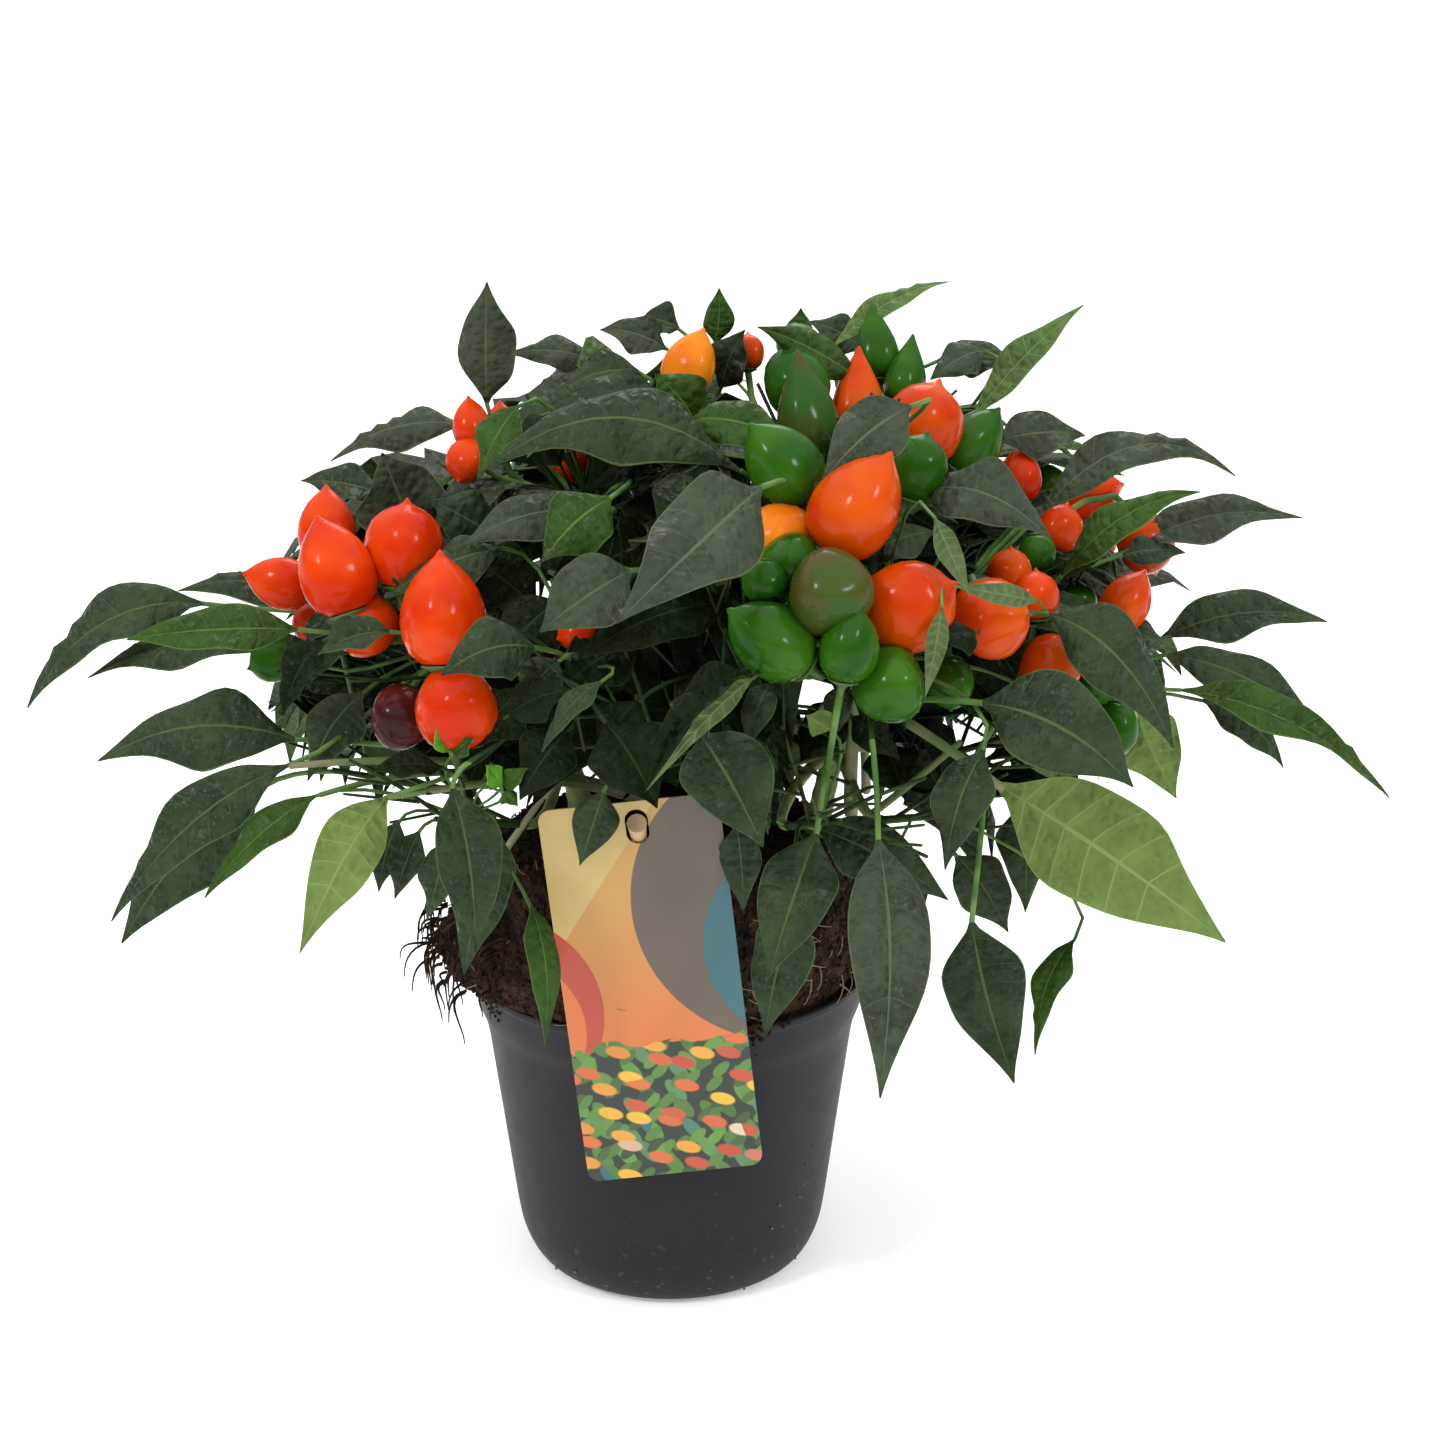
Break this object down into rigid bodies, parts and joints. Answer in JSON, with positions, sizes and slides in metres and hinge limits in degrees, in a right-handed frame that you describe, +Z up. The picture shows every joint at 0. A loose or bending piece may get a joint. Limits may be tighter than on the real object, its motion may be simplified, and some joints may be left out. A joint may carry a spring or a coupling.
{
  "type": "potted ornamental chilli pepper plant",
  "caption": "Bushy ornamental chilli pepper plant with glossy pointed fruit among dark leaves, standing in a round nursery pot on a proud ball of peat, with a hanging card tag.",
  "frame": {"origin": "centre of the pot's flat underside", "axes": "+Z up along the pot's axis, -Y towards the side that the tag hangs on, +X to the right seen from that side"},
  "size_m": [0.5616, 0.4557, 0.4208],
  "materials": {
    "pot_plastic": "smooth dark grey moulded plastic, satin",
    "peat": "moist fibrous peat, matt",
    "stem_bark": "green young stem, paler and woody at the foot",
    "foliage": "dark green leaves with a dull sheen and paler undersides",
    "fruit_skin": "glossy waxy fruit skin, orange, red and green",
    "tag_card": "printed card with a satin coat",
    "peg_wood": "pale unfinished wood"
  },
  "bodies": {
    "root": {"pot": "pot_plastic", "root_ball": "peat", "tag": "tag_card", "tag_peg": "peg_wood", "stem_right": "stem_bark", "stem_left": "stem_bark", "stem_back": "stem_bark", "bough_top_left": "stem_bark", "bough_top_right": "stem_bark", "bough_left": "stem_bark", "bough_left_front": "stem_bark", "bough_front": "stem_bark", "bough_front_right": "stem_bark", "bough_right_front": "stem_bark", "bough_right": "stem_bark", "bough_right_back": "stem_bark", "bough_back_right": "stem_bark", "bough_back_left": "stem_bark", "bough_left_back": "stem_bark", "bough_high_left": "stem_bark", "bough_high_back_left": "stem_bark", "bough_high_front_left": "stem_bark", "bough_high_front": "stem_bark", "bough_high_front_right": "stem_bark", "bough_high_right": "stem_bark", "bough_high_back_right": "stem_bark", "bough_high_back": "stem_bark", "foliage_top_left": "foliage", "foliage_top_right": "foliage", "foliage_left": "foliage", "foliage_left_front": "foliage", "foliage_front": "foliage", "foliage_front_right": "foliage", "foliage_right_front": "foliage", "foliage_right": "foliage", "foliage_right_back": "foliage", "foliage_back_right": "foliage", "foliage_back_left": "foliage", "foliage_left_back": "foliage", "foliage_high_left": "foliage", "foliage_high_back_left": "foliage", "foliage_high_front_left": "foliage", "foliage_high_front": "foliage", "foliage_high_front_right": "foliage", "foliage_high_right": "foliage", "foliage_high_back_right": "foliage", "foliage_high_back": "foliage"}
  },
  "joints": []
}
